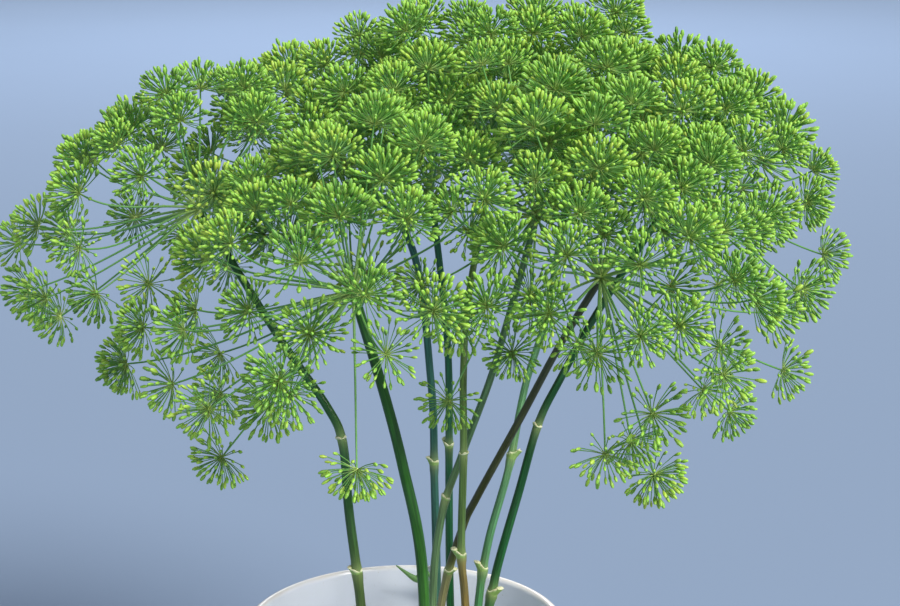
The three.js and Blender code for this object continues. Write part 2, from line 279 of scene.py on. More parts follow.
class DillColours(bpy.types.PropertyGroup):
    fruit_shade: colour_property("Fruit, deep", "Green of the youngest fruits", "#2f7611")
    fruit_light: colour_property("Fruit, light", "Green of most fruits", "#77b229")
    fruit_ripe: colour_property("Fruit, ripening", "Colour of the few that turn", "#95b430")
    # The pale of the fruits' ribs and tips. At the tips it is partly a painted highlight.
    fruit_rib_and_tip_highlight: colour_property("Fruit ribs", "Pale ribs and tips of the fruits", "#c6da96")
    ray: colour_property("Rays", "Green of the rays and fruit stems", "#4a8a30")
    ray_bloom: colour_property("Ray bloom", "Waxy bloom on the rays", "#769c70")
    eye: colour_property("Eyes", "Where fruit stems meet", "#cbdc86")
    leaf_base: colour_property("Leaf base", "Skin of the cut leaf bases", "#9dbb6a")
    leaf_cut: colour_property("Leaf cut", "Cut face of the leaf bases", "#e6e8bf")
    glaze: colour_property("Glaze", "White glaze of the jar", "#eef4ff")
    glaze_thin: colour_property("Glaze, thin", "Where the glaze thins over the lip", "#d9cdb9")


class DillStage(bpy.types.PropertyGroup):
    floor: colour_property("Floor", "Plain pale floor", "#7789a3")
    air: colour_property("Air", "Soft light from all round", "#e3e9f1")
    air_strength: FloatProperty(
        name="Air strength", description="Strength of the light from all round", default=0.5)
    skylight_strength: FloatProperty(
        name="Skylight", description="Strength of the broad light from above", default=5.0)
    window_power: FloatProperty(
        name="Window", description="Power of the near light on the right", default=6,
        subtype="POWER")
    fill_power: FloatProperty(
        name="Low fill", description="Power of the low light in front", default=3,
        subtype="POWER")
    far_power: FloatProperty(
        name="Far floor", description="Power of the light over the far floor", default=90,
        subtype="POWER")


# ---- small modelling helpers ----

def deselect():
    bpy.ops.object.select_all(action="DESELECT")


def made_by(operator, **settings):
    """The object that an add operator makes, the only one selected."""
    deselect()
    operator(**settings)
    return bpy.context.active_object


def edit_all(operator, **settings):
    """Runs one edit on the whole of the active mesh."""
    bpy.ops.object.mode_set(mode="EDIT")
    bpy.ops.mesh.select_all(action="SELECT")
    operator(**settings)
    bpy.ops.object.mode_set(mode="OBJECT")


def pick(*objects):
    """Selects only these objects, the first of them active."""
    deselect()
    for o in objects:
        o.select_set(True)
    bpy.context.view_layer.objects.active = objects[0]


def coordinates(mesh):
    points = np.empty(len(mesh.vertices) * 3, np.float32)
    mesh.vertices.foreach_get("co", points)
    return points.reshape(-1, 3).astype(float)


def set_coordinates(mesh, points):
    mesh.vertices.foreach_set("co", np.asarray(points, np.float32).ravel())
    mesh.update()


def add_floats(mesh, name, values):
    mesh.attributes.new(name, "FLOAT", "POINT").data.foreach_set(
        "value", np.asarray(values, np.float32))


def add_vectors(mesh, name, values):
    mesh.attributes.new(name, "FLOAT_VECTOR", "POINT").data.foreach_set(
        "vector", np.asarray(values, np.float32).ravel())


def smooth(piece):
    piece.data.polygons.foreach_set("use_smooth", [True] * len(piece.data.polygons))
    piece.data.update()


def settle_piece(piece, name, slot, *nodes):
    """Names a finished piece, puts its place into its mesh, and ties it to the frame."""
    piece.name = name
    piece.data.name = name
    pick(piece)
    bpy.ops.object.transform_apply(location=True, rotation=True, scale=True)
    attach(piece, "root")
    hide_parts(*nodes)
    return piece


def mesh_arrays(mesh):
    """A mesh as its points, its faces' corners and each face's count of corners."""
    corners = np.empty(len(mesh.loops), np.int64)
    mesh.loops.foreach_get("vertex_index", corners)
    counts = np.empty(len(mesh.polygons), np.int64)
    mesh.polygons.foreach_get("loop_total", counts)
    return coordinates(mesh), corners, counts


def mesh_from(name, points, corners, counts):
    mesh = bpy.data.meshes.new(name)
    mesh.vertices.add(len(points))
    mesh.vertices.foreach_set("co", np.asarray(points, np.float32).ravel())
    mesh.loops.add(len(corners))
    mesh.loops.foreach_set("vertex_index", np.asarray(corners, np.int32))
    mesh.polygons.add(len(counts))
    starts = np.concatenate([[0], np.cumsum(counts)[:-1]])
    mesh.polygons.foreach_set("loop_start", starts.astype(np.int32))
    mesh.polygons.foreach_set("use_smooth", [True] * len(counts))
    mesh.update(calc_edges=True)
    mesh.validate()
    return mesh


class Heap:
    """Copies of small meshes gathered into one, with their per-point values."""

    def __init__(self):
        self.points, self.corners, self.counts, self.values = [], [], [], {}
        self.size = 0

    def add(self, points, corners, counts, **values):
        self.points.append(points)
        self.corners.append(corners + self.size)
        self.counts.append(counts)
        for name, value in values.items():
            self.values.setdefault(name, []).append(np.broadcast_to(value, len(points)))
        self.size += len(points)

    def arrays(self):
        values = {name: np.concatenate(parts) for name, parts in self.values.items()}
        return (np.concatenate(self.points), np.concatenate(self.corners),
                np.concatenate(self.counts), values)

    def piece(self, name):
        points, corners, counts, values = self.arrays()
        mesh = mesh_from(name, points, corners, counts)
        for value_name, value in values.items():
            add_floats(mesh, value_name, value)
        piece = bpy.data.objects.new(name, mesh)
        bpy.context.scene.collection.objects.link(piece)
        return piece


def frames_along(directions):
    """Right-handed axes, as columns, whose third is each direction."""
    third = unit(directions)
    helper = np.where(np.abs(third[:, :1]) > 0.9, [[0.0, 1.0, 0.0]], [[1.0, 0.0, 0.0]])
    first = unit(np.cross(helper, third))
    second = np.cross(third, first)
    return np.stack([first, second, third], axis=2)


def turned(axes, angle):
    """The same axes turned about their third by an angle."""
    c, s = np.cos(angle)[:, None], np.sin(angle)[:, None]
    first = axes[:, :, 0] * c + axes[:, :, 1] * s
    second = axes[:, :, 1] * c - axes[:, :, 0] * s
    return np.stack([first, second, axes[:, :, 2]], axis=2)


# ---- materials ----

def node(tree, kind, settings=None, stops=None):
    """Adds one node and gives its outputs. settings sets its properties and its inputs, by name
    or number, to a value or to another node's output. stops are a colour ramp's colours."""
    made = tree.nodes.new(kind)
    for key, value in (settings or {}).items():
        if isinstance(value, bpy.types.NodeSocket):
            tree.links.new(value, made.inputs[key])
        elif isinstance(key, str) and key in made.bl_rna.properties:
            setattr(made, key, value)
        else:
            made.inputs[key].default_value = value
    if stops:
        ramp = made.color_ramp.elements
        while len(ramp) < len(stops):
            ramp.new(0.5)
        for element, (position, colour) in zip(ramp, stops):
            element.position = position
            element.color = colour
    return made.outputs


def blank_material(name):
    """A new material, its empty tree and the output that says where on the object a point is."""
    material = bpy.data.materials.new(name)
    material.use_nodes = True
    tree = material.node_tree
    tree.nodes.clear()
    return material, tree, node(tree, "ShaderNodeTexCoord")["Object"]


def grey(value):
    return (value, value, value, 1)


def white_glazed_stoneware(colours):
    """Fired stoneware dipped in a white tin glaze: a glossy coat with faint pooling and pinholes.
    The glaze thins to the warm clay over the sharpest part of the lip."""
    material, tree, place = blank_material("white_glazed_stoneware")
    pooling, specks, ragged = (
        node(tree, "ShaderNodeTexNoise", {"Scale": scale, "Detail": detail, "Vector": place})["Fac"]
        for scale, detail in ((14.0, 3.0), (900.0, 1.0), (60.0, 4.0)))
    pinholes = node(tree, "ShaderNodeValToRGB", {"Fac": specks},
                    [(0.72, grey(0)), (0.78, grey(1))])["Color"]
    faint = node(tree, "ShaderNodeMath", {"operation": "MULTIPLY", 0: pinholes, 1: 0.35})[0]
    body = node(tree, "ShaderNodeMix", {"data_type": "RGBA", 0: pooling, 6: colours.glaze,
                                       7: linear("#e4edfd")})[2]
    dotted = node(tree, "ShaderNodeMix", {"data_type": "RGBA", 0: faint, 6: body,
                                         7: linear("#c9c4ba")})[2]
    edge = node(tree, "ShaderNodeAttribute", {"attribute_name": "lip"})["Fac"]
    broken = node(tree, "ShaderNodeMath", {"operation": "MULTIPLY_ADD", 0: ragged, 1: 0.9,
                                          2: 0.07})[0]
    thin = node(tree, "ShaderNodeMath", {"operation": "MULTIPLY", "use_clamp": True, 0: edge,
                                        1: broken})[0]
    coloured = node(tree, "ShaderNodeMix", {"data_type": "RGBA", 0: thin, 6: dotted,
                                           7: colours.glaze_thin})[2]
    rough = node(tree, "ShaderNodeMapRange", {"To Min": 0.1, "To Max": 0.2, "Value": pooling})[0]
    ripple = node(tree, "ShaderNodeBump", {"Strength": 0.15, "Distance": 0.4 * MM,
                                          "Height": pooling})[0]
    shader = node(tree, "ShaderNodeBsdfPrincipled", {
        "IOR": 1.52, "Coat Weight": 0.4, "Coat Roughness": 0.06,
        "Base Color": coloured, "Roughness": rough, "Normal": ripple})
    node(tree, "ShaderNodeOutputMaterial", {"Surface": shader[0]})
    return material


def living_dill_stem(letter, spec):
    """A living, ridged stem: fine pale and dark lines run along it, a thin waxy bloom dulls it
    in patches, and it is paler at each joint. It changes colour from its foot to its top."""
    material, tree, place = blank_material(f"living_dill_stem_{letter}")
    grain = node(tree, "ShaderNodeAttribute", {"attribute_name": "grain"})["Vector"]
    joint = node(tree, "ShaderNodeAttribute", {"attribute_name": "joint"})["Fac"]
    height = node(tree, "ShaderNodeSeparateXYZ", {"Vector": place})["Z"]
    start, end = spec.get("change", (0.15, 0.24))
    rise = node(tree, "ShaderNodeMapRange", {"From Min": start, "From Max": end,
                                            "Value": height})[0]
    base = node(tree, "ShaderNodeMix", {"data_type": "RGBA", 0: rise, 6: linear(spec["low"]),
                                       7: linear(spec["high"])})[2]
    # Stretched along the stem, the noise makes lines about 0.6 mm apart, as ridges are.
    lines = node(tree, "ShaderNodeTexNoise", {"Scale": 4.2, "Detail": 2.0, "Roughness": 0.6,
                                             "Vector": grain})["Fac"]
    striped = node(tree, "ShaderNodeValToRGB", {"Fac": lines},
                   [(0.36, grey(0.55)), (0.52, grey(1.0)), (0.7, grey(1.55))])["Color"]
    lined = node(tree, "ShaderNodeMix", {"data_type": "RGBA", "blend_type": "MULTIPLY", 0: 1.0,
                                        6: base, 7: striped})[2]
    patches = node(tree, "ShaderNodeTexNoise", {"Scale": 55.0, "Detail": 4.0,
                                               "Vector": place})["Fac"]
    waxy = node(tree, "ShaderNodeMapRange", {"From Min": 0.45, "From Max": 0.85, "To Max": 0.1,
                                            "Value": patches})[0]
    bloomed = node(tree, "ShaderNodeMix", {"data_type": "RGBA", 0: waxy, 6: lined,
                                          7: linear("#7f9f86")})[2]
    jointed = node(tree, "ShaderNodeMix", {"data_type": "RGBA", 0: joint, 6: bloomed,
                                          7: linear("#a3b573")})[2]
    rough = node(tree, "ShaderNodeMapRange", {"To Min": 0.26, "To Max": 0.5, "Value": patches})[0]
    ridges = node(tree, "ShaderNodeBump", {"Strength": 0.4, "Distance": 0.2 * MM,
                                          "Height": lines})[0]
    shader = node(tree, "ShaderNodeBsdfPrincipled", {
        "IOR": 1.42, "Specular IOR Level": 0.38,
        "Base Color": jointed, "Roughness": rough, "Normal": ridges})
    node(tree, "ShaderNodeOutputMaterial", {"Surface": shader[0]})
    return material


def cut_leaf_base(colours):
    """The sheath left where a leaf was cut away: pale green fibrous skin and a cream cut face."""
    material, tree, place = blank_material("cut_dill_leaf_base")
    cut = node(tree, "ShaderNodeAttribute", {"attribute_name": "cut"})["Fac"]
    fibre = node(tree, "ShaderNodeTexNoise", {"Scale": 700.0, "Detail": 3.0,
                                             "Vector": place})["Fac"]
    stained = node(tree, "ShaderNodeMix", {"data_type": "RGBA", 0: fibre, 6: colours.leaf_base,
                                          7: linear("#6f9a4a")})[2]
    strands = node(tree, "ShaderNodeMapRange", {"From Min": 0.5, "From Max": 0.75,
                                               "Value": fibre})[0]
    dried = node(tree, "ShaderNodeMix", {"data_type": "RGBA", 0: strands, 6: colours.leaf_cut,
                                        7: linear("#c2b486")})[2]
    skin = node(tree, "ShaderNodeMix", {"data_type": "RGBA", 0: cut, 6: stained, 7: dried})[2]
    bump = node(tree, "ShaderNodeBump", {"Strength": 0.3, "Distance": 0.2 * MM,
                                        "Height": fibre})[0]
    shader = node(tree, "ShaderNodeBsdfPrincipled", {
        "Roughness": 0.55, "IOR": 1.42, "Base Color": skin, "Normal": bump})
    node(tree, "ShaderNodeOutputMaterial", {"Surface": shader[0]})
    return material


def green_dill_fruit(colours):
    """Green, still juicy fruits: satin skin with pale raised ribs and a pale tip that is partly
    its own colour and partly a painted highlight, with painted shade towards the stem, each fruit a
    little riper or greener than the next. tone says how ripe, along runs from stem to tip."""
    material, tree, place = blank_material("green_dill_fruit")
    tone, along, rib = (node(tree, "ShaderNodeAttribute", {"attribute_name": name})["Fac"]
                        for name in ("tone", "along", "rib"))
    skin = node(tree, "ShaderNodeValToRGB", {"Fac": tone},
                [(0.05, colours.fruit_shade), (0.55, colours.fruit_light),
                 (0.98, colours.fruit_ripe)])["Color"]
    # Painted shade and light: each fruit is darker towards its stem and a little lighter at its
    # tip.
    painted_stem_shade = node(tree, "ShaderNodeMapRange", {"To Min": 0.74, "To Max": 1.05, "Value": along})[0]
    shaded = node(tree, "ShaderNodeMix", {"data_type": "RGBA", "blend_type": "MULTIPLY", 0: 1.0,
                                         6: skin, 7: painted_stem_shade})[2]
    # The pale tip is partly the fruit's own paler tip and partly a painted highlight.
    pale_tip_and_highlight = node(tree, "ShaderNodeMapRange", {"From Min": 0.9, "From Max": 1.0, "To Max": 0.3,
                                             "Value": along})[0]
    pale = node(tree, "ShaderNodeMath", {"operation": "MULTIPLY_ADD", "use_clamp": True, 0: rib,
                                        1: 0.3, 2: pale_tip_and_highlight})[0]
    ribbed = node(tree, "ShaderNodeMix", {"data_type": "RGBA", 0: pale, 6: shaded,
                                         7: colours.fruit_rib_and_tip_highlight})[2]
    mottle = node(tree, "ShaderNodeTexNoise", {"Scale": 420.0, "Detail": 2.0,
                                              "Vector": place})["Fac"]
    rough = node(tree, "ShaderNodeMapRange", {"To Min": 0.24, "To Max": 0.42, "Value": mottle})[0]
    shader = node(tree, "ShaderNodeBsdfPrincipled", {
        "IOR": 1.45, "Specular IOR Level": 0.28, "Subsurface Weight": 0.1,
        "Subsurface Scale": 0.8 * MM, "Base Color": ribbed, "Roughness": rough})
    node(tree, "ShaderNodeOutputMaterial", {"Surface": shader[0]})
    return material


def living_dill_ray(colours):
    """Rays and fruit stems: slim living stems with a dull bloom, yellowish to tan where many of
    them meet. tone says how much bloom, and pale how near they meet."""
    material, tree, place = blank_material("living_dill_ray")
    tone, pale = (node(tree, "ShaderNodeAttribute", {"attribute_name": name})["Fac"]
                  for name in ("tone", "pale"))
    patches = node(tree, "ShaderNodeTexNoise", {"Scale": 90.0, "Detail": 3.0,
                                               "Vector": place})["Fac"]
    waxy = node(tree, "ShaderNodeMath", {"operation": "MULTIPLY", "use_clamp": True, 0: patches,
                                        1: tone})[0]
    stem = node(tree, "ShaderNodeMix", {"data_type": "RGBA", 0: waxy, 6: colours.ray,
                                       7: colours.ray_bloom})[2]
    eyed = node(tree, "ShaderNodeMix", {"data_type": "RGBA", 0: pale, 6: stem,
                                       7: colours.eye})[2]
    shader = node(tree, "ShaderNodeBsdfPrincipled", {
        "IOR": 1.42, "Roughness": 0.42, "Specular IOR Level": 0.3, "Subsurface Weight": 0.06,
        "Subsurface Scale": 0.8 * MM, "Base Color": eyed})
    node(tree, "ShaderNodeOutputMaterial", {"Surface": shader[0]})
    return material


def matt_floor_paint(colour):
    """Plain matt paint on a studio floor, rolled on, with a faint unevenness."""
    material, tree, place = blank_material("matt_floor_paint")
    patches = node(tree, "ShaderNodeTexNoise", {"Scale": 1.3, "Detail": 2.0,
                                               "Vector": place})["Fac"]
    worn = node(tree, "ShaderNodeMix", {"data_type": "RGBA", "blend_type": "MULTIPLY",
                                       0: patches, 6: colour, 7: grey(0.97)})[2]
    shader = node(tree, "ShaderNodeBsdfPrincipled", {
        "Roughness": 0.8, "Specular IOR Level": 0.15, "Base Color": worn})
    node(tree, "ShaderNodeOutputMaterial", {"Surface": shader[0]})
    return material


# ---- the jar ----

def bezier(start, first, second, end, steps):
    """Points of a cubic curve after its start."""
    t = (np.arange(steps) + 1)[:, None] / steps
    a, b, c, d = (np.array(p, float) for p in (start, first, second, end))
    return (1 - t) ** 3 * a + 3 * (1 - t) ** 2 * t * b + 3 * (1 - t) * t * t * c + t ** 3 * d


def jar_profile(radius, height):
    """Radius and height of the jar's section in millimetres, outside, lip and inside."""
    base = radius - 24
    inner = radius - JAR_WALL
    lip = JAR_WALL / 2
    points = [[0, 0], [base * 0.5, 0], [base - 2, 0], [base, 0]]
    points += bezier((base, 0), (radius - 8, 0), (radius, JAR_HEEL * 0.4), (radius, JAR_HEEL),
                     14).tolist()
    walls = np.linspace(JAR_HEEL, height - lip, 12)[1:]
    points += [[radius, z] for z in walls]
    for step in range(1, 13):
        angle = math.pi * step / 12
        points.append([radius - lip + lip * math.cos(angle), height - lip + lip * math.sin(angle)])
    points += [[inner, z] for z in np.linspace(height - lip, JAR_HEEL + 2, 12)[1:]]
    points += bezier((inner, JAR_HEEL + 2), (inner, JAR_HEEL * 0.5), (inner - 7, JAR_FLOOR),
                     (base - 2, JAR_FLOOR), 14).tolist()
    points += [[base * 0.5, JAR_FLOOR], [0, JAR_FLOOR]]
    return np.array(points)


class DILL_OT_jar(bpy.types.Operator):
    """Spin the white glazed jar from its section"""
    bl_idname = "dill.jar"
    bl_label = "Jar"

    def execute(self, context):
        _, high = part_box("jar")
        profile = jar_profile(high.x / MM, high.z / MM) * MM
        jar = made_by(bpy.ops.mesh.primitive_circle_add, vertices=len(profile), radius=0.1,
                      fill_type="NOTHING")
        section = np.zeros((len(profile), 3))
        section[:, 0], section[:, 2] = profile[:, 0], profile[:, 1]
        set_coordinates(jar.data, section)
        bpy.ops.object.mode_set(mode="EDIT")
        bpy.ops.mesh.select_all(action="DESELECT")
        bpy.ops.object.mode_set(mode="OBJECT")
        for edge in jar.data.edges:
            edge.select = set(edge.vertices) == {0, len(profile) - 1}
        bpy.ops.object.mode_set(mode="EDIT")
        bpy.ops.mesh.delete(type="EDGE_FACE")
        bpy.ops.mesh.select_all(action="SELECT")
        bpy.ops.mesh.spin(steps=128, angle=2 * math.pi, center=(0, 0, 0), axis=(0, 0, 1))
        bpy.ops.mesh.select_all(action="SELECT")
        bpy.ops.mesh.remove_doubles(threshold=0.01 * MM)
        bpy.ops.mesh.normals_make_consistent(inside=False)
        bpy.ops.object.mode_set(mode="OBJECT")
        points = coordinates(jar.data)
        # A thrown wall is never quite true: it swells and narrows by about a quarter millimetre.
        around = np.arctan2(points[:, 1], points[:, 0])
        swell = 0.14 * np.sin(3 * around + 0.4) * np.sin(points[:, 2] / MM / 34)
        swell += 0.1 * np.sin(2 * around + points[:, 2] / MM / 21)
        ease = np.clip(points[:, 2] / MM / 20, 0, 1)
        points[:, :2] *= (1 + swell * ease * MM / (high.x))[:, None]
        set_coordinates(jar.data, points)
        lip = np.clip((points[:, 2] - (high.z - 3.2 * MM)) / (3.0 * MM), 0, 1) ** 2
        add_floats(jar.data, "lip", lip)
        smooth(jar)
        jar.data.materials.append(white_glazed_stoneware(context.scene.dill_colours))
        settle_piece(jar, "glazed_jar", "white_glazed_ceramic", "jar")
        return {"FINISHED"}


# ---- the stalks ----

def route_curve(route, radii):
    """A Bezier curve object through a route in millimetres, with a radius at each point."""
    curve = made_by(bpy.ops.curve.primitive_bezier_curve_add)
    spline = curve.data.splines[0]
    spline.bezier_points.add(len(route) - len(spline.bezier_points))
    fill_spline(spline, np.array(route, float) * MM, radii)
    return curve


def place_point(point, place, before, after, radius):
    """Sets a Bezier point, with free handles before and after it."""
    point.handle_left_type = point.handle_right_type = "FREE"
    point.co, point.handle_left, point.handle_right = place, before, after
    point.radius = radius


def fill_spline(spline, points, radii):
    """Sets a spline's points, with handles that pass smoothly through each."""
    before = np.vstack([2 * points[0] - points[1], points[:-1]])
    after = np.vstack([points[1:], 2 * points[-1] - points[-2]])
    lean = (after - before) / 6
    for point, place, handle, radius in zip(spline.bezier_points, points, lean, radii):
        place_point(point, place, place - handle, place + handle, radius)


def centre_line(route, steps=40):
    """Points along a route, their directions and their distance from its foot, in metres."""
    points = np.array(route, float) * MM
    ends = np.vstack([2 * points[0] - points[1], points, 2 * points[-1] - points[-2]])
    t = (np.arange(steps) / steps)[:, None]
    line = []
    for a, b, c, d in zip(ends, ends[1:], ends[2:], ends[3:]):
        line.append(0.5 * (2 * b + (c - a) * t + (2 * a - 5 * b + 4 * c - d) * t * t
                           + (3 * b - a - 3 * c + d) * t ** 3))
    line = np.vstack(line + [points[-1:]])
    distance = np.concatenate([[0], np.cumsum(np.linalg.norm(np.diff(line, axis=0), axis=1))])
    return line, unit(np.gradient(line, axis=0)), distance


def fluted_section(ridges):
    """A closed curve one metre in radius with low ridges, for a stalk's cross-section."""
    section = made_by(bpy.ops.curve.primitive_nurbs_circle_add, radius=1)
    section.data.splines.clear()
    spline = section.data.splines.new("POLY")
    corners = ridges * 2
    spline.points.add(corners - 1)
    for i, point in enumerate(spline.points):
        angle = 2 * math.pi * i / corners
        reach = 1.0 if i % 2 else 0.955
        point.co = (reach * math.cos(angle), reach * math.sin(angle), 0, 1)
    spline.use_cyclic_u = True
    return section


def node_swelling(distance, collar, size):
    """How much a stalk thickens round a cut leaf base."""
    return 1 + 0.3 * size * np.exp(-((distance - collar + 1.5 * MM) / (3.4 * MM)) ** 2)


def leaf_sheath(radius, size):
    """A cut sheath: a ragged cup round the stalk, standing on z = 0 and taller and wider towards
    +X, where the leaf left."""
    cup = made_by(bpy.ops.mesh.primitive_cylinder_add, vertices=28, radius=1, depth=1,
                  end_fill_type="NOTHING")
    edit_all(bpy.ops.mesh.subdivide, number_cuts=1)
    points = coordinates(cup.data)
    angle = np.arctan2(points[:, 1], points[:, 0])
    level = points[:, 2] + 0.5
    side = np.exp(-(angle / 1.05) ** 2)
    reach = radius * (1.02 + 0.22 * size * level) + 1.5 * MM * size * side * level ** 1.3
    reach += 0.14 * MM * np.sin(5 * angle + 9 * size) * level
    top = (1.1 + 2.6 * side) * size * MM + 0.4 * MM * np.sin(4 * angle + 20 * size)
    points[:, 0] = reach * np.cos(angle)
    points[:, 1] = reach * np.sin(angle)
    points[:, 2] = -2.6 * MM * size + level * (top + 2.6 * MM * size)
    set_coordinates(cup.data, points)
    wall = cup.modifiers.new("wall", "SOLIDIFY")
    wall.thickness = 0.75 * MM
    wall.offset = -1
    rounding = cup.modifiers.new("rounding", "SUBSURF")
    rounding.levels = rounding.render_levels = 1
    for modifier in ("wall", "rounding"):
        bpy.ops.object.modifier_apply(modifier=modifier)
    points = coordinates(cup.data)
    side = np.exp(-(np.arctan2(points[:, 1], points[:, 0]) / 1.05) ** 2)
    edge = (1.1 + 2.6 * side) * size * MM - 1.0 * MM
    add_floats(cup.data, "cut", np.clip((points[:, 2] - edge) / (0.6 * MM), 0, 1))
    return cup


def leaf_stub(radius, size):
    """The short cut end of the leaf's own stem, inside the sheath on its +X side, leaning out."""
    stub = made_by(bpy.ops.mesh.primitive_cylinder_add, vertices=18, radius=1, depth=1)
    edit_all(bpy.ops.mesh.bevel, offset=0.12, segments=2)
    points = coordinates(stub.data)
    level = points[:, 2] + 0.5
    points[:, 0] *= 1.15 * MM * size * (1 + 0.3 * level)
    points[:, 1] *= 1.75 * MM * size * (1 + 0.15 * level)
    points[:, 2] = level * 4.4 * MM * size - 1.2 * MM * size
    points[:, 0] += radius * 0.8 + points[:, 2] * 0.55
    set_coordinates(stub.data, points)
    add_floats(stub.data, "cut", np.clip((level - 0.9) / 0.08, 0, 1))
    return stub


def place_leaf_base(part, line, directions, index, heading):
    """Moves a sheath or stub onto a stalk, with its +X side towards a heading in degrees."""
    ahead = directions[index]
    wanted = np.array([math.cos(math.radians(heading)), math.sin(math.radians(heading)), 0])
    first = unit(wanted - ahead * (wanted @ ahead))
    axes = np.stack([first, np.cross(ahead, first), ahead])
    set_coordinates(part.data, coordinates(part.data) @ axes + line[index])


class DILL_OT_stalks(bpy.types.Operator):
    """Sweep the nine ridged stalks and fit their cut leaf bases"""
    bl_idname = "dill.stalks"
    bl_label = "Stalks"

    def execute(self, context):
        section = fluted_section(ridges=14)
        bases = cut_leaf_base(context.scene.dill_colours)
        for letter, spec in STALKS.items():
            self.build(letter, spec, section, bases)
        bpy.data.objects.remove(section)
        return {"FINISHED"}

    def build(self, letter, spec, section, bases):
        line, directions, distance = centre_line(spec["route"])
        steps = len(spec["route"]) - 1
        radii = [spec["radius"] * MM * (1.04 - 0.3 * i / steps) for i in range(steps + 1)]
        route = [list(p) for p in spec["route"]]
        route[-1] = ((line[-1] - directions[-1] * 1.2 * MM) / MM).tolist()
        curve = route_curve(route, radii)
        curve.data.dimensions = "3D"
        curve.data.bevel_mode = "OBJECT"
        curve.data.bevel_object = section
        curve.data.resolution_u = 14
        curve.data.use_fill_caps = True
        bpy.ops.object.convert(target="MESH")
        stalk = bpy.context.active_object
        points = coordinates(stalk.data)
        closest = np.linalg.norm(points[:, None] - line[None], axis=2).argmin(1)
        outward = points - line[closest]
        outward -= (outward * directions[closest]).sum(1)[:, None] * directions[closest]
        axes = frames_along(directions[closest])
        collars = [(np.abs(line[:, 2] - height * MM).argmin(), heading, size)
                   for height, heading, size in spec["collars"]]
        swell, joint = np.ones(len(points)), np.zeros(len(points))
        for index, _, size in collars:
            swell *= node_swelling(distance[closest], distance[index], size)
            joint += 0.6 * np.exp(-(np.abs(distance[closest] - distance[index]) / (3.5 * MM)))
        set_coordinates(stalk.data, points + outward * (swell - 1)[:, None])
        round_it = np.stack([(outward * axes[:, :, i]).sum(1) for i in (0, 1)], axis=1)
        round_it /= np.maximum(np.linalg.norm(round_it, axis=1, keepdims=True), 1e-6)
        add_vectors(stalk.data, "grain", np.column_stack([round_it, distance[closest] * 9]))
        add_floats(stalk.data, "joint", np.clip(joint, 0, 1))
        material = living_dill_stem(letter, spec)
        parts = [stalk]
        for index, heading, size in collars:
            radius = spec["radius"] * 0.98 * MM
            made = [leaf_sheath(radius, size)]
            if size > 0.5:
                made.append(leaf_stub(radius, size))
            for part in made:
                place_leaf_base(part, line, directions, index, heading)
                part.data.materials.append(bases)
            parts += made
        if letter == "c":
            parts.append(self.leaf_remnant(living_dill_stem("scrap", LEAF_COLOURS)))
        for part in parts:
            smooth(part)
        stalk.data.materials.clear()
        stalk.data.materials.append(material)
        if len(parts) > 1:
            pick(*parts)
            bpy.ops.object.join()
        settle_piece(stalk, f"dill_stalk_{letter}", "dill_stalk", f"stalk_{letter}")

    def leaf_remnant(self, material):
        """What is left of one leaf: a forked, pointed scrap that grows from its stalk."""
        curve = made_by(bpy.ops.curve.primitive_bezier_curve_add)
        curve.data.splines.clear()
        for route, radii in LEAF_REMNANT:
            spline = curve.data.splines.new("BEZIER")
            spline.bezier_points.add(len(route) - 1)
            fill_spline(spline, np.array(route, float) * MM, radii)
        curve.data.dimensions = "3D"
        curve.data.bevel_depth = MM
        curve.data.bevel_resolution = 2
        curve.data.use_fill_caps = True
        bpy.ops.object.convert(target="MESH")
        scrap = bpy.context.active_object
        scrap.data.materials.clear()
        scrap.data.materials.append(material)
        return scrap


# ---- the umbels ----

FRUIT_SPREAD = math.radians(102)
FRUIT_FACETS = 8
FRUIT_RINGS = 4
# Umbellets come in four patterns, each with fewer fruits than the one before.
PATTERNS = 4
FEWER_FRUITS = 13
PATTERN_SEED = 60
UMBEL_SEED = 400
# An umbellet that hangs is turned outward from the middle of the bunch.
HANG_SLOPE = 2.5
OUTWARD_TURN = 1.3


def fruit_shape(sizes):
    """One fruit, standing on z = 0: narrow at its stem, blunt at its tip, ribbed and a little
    flat. Returns its arrays with the values along and rib."""
    fruit = made_by(bpy.ops.mesh.primitive_uv_sphere_add, segments=FRUIT_FACETS,
                    ring_count=FRUIT_RINGS, radius=1)
    points, corners, counts = mesh_arrays(fruit.data)
    bpy.data.objects.remove(fruit)
    level = np.round(np.arccos(np.clip(points[:, 2], -1, 1)) / math.pi * FRUIT_RINGS)
    height = np.array([1.0, 0.9, 0.52, 0.1, 0.0])[level.astype(int)]
    width = np.array([0.0, 0.66, 1.0, 0.46, 0.0])[level.astype(int)]
    angle = np.arctan2(points[:, 1], points[:, 0])
    rib = (np.round(angle / (2 * math.pi) * FRUIT_FACETS) % 2 == 0).astype(float)
    reach = width * (0.95 + 0.05 * rib) * sizes.fruit_width / 2
    shaped = np.stack([reach * np.cos(angle), 0.86 * reach * np.sin(angle),
                       height * sizes.fruit_length], axis=1)
    return shaped, corners, counts, height, rib * (width > 0)


def stem_shape():
    """A four-sided rod of two lengths up +Z, one metre high and one in radius."""
    rod = made_by(bpy.ops.mesh.primitive_cylinder_add, vertices=4, radius=1, depth=1,
                  end_fill_type="NOTHING", location=(0, 0, 0.5))
    bpy.ops.object.transform_apply(location=True)
    edit_all(bpy.ops.mesh.bisect, plane_co=(0, 0, 0.5), plane_no=(0, 0, 1))
    arrays = mesh_arrays(rod.data)
    bpy.data.objects.remove(rod)
    return arrays


def eye_shape(sizes):
    """The knob where the fruit stems of an umbellet meet."""
    eye = made_by(bpy.ops.mesh.primitive_uv_sphere_add, segments=8, ring_count=5,
                  radius=sizes.eye_width / 2)
    points, corners, counts = mesh_arrays(eye.data)
    bpy.data.objects.remove(eye)
    points[:, 2] *= 0.7
    return points, corners, counts


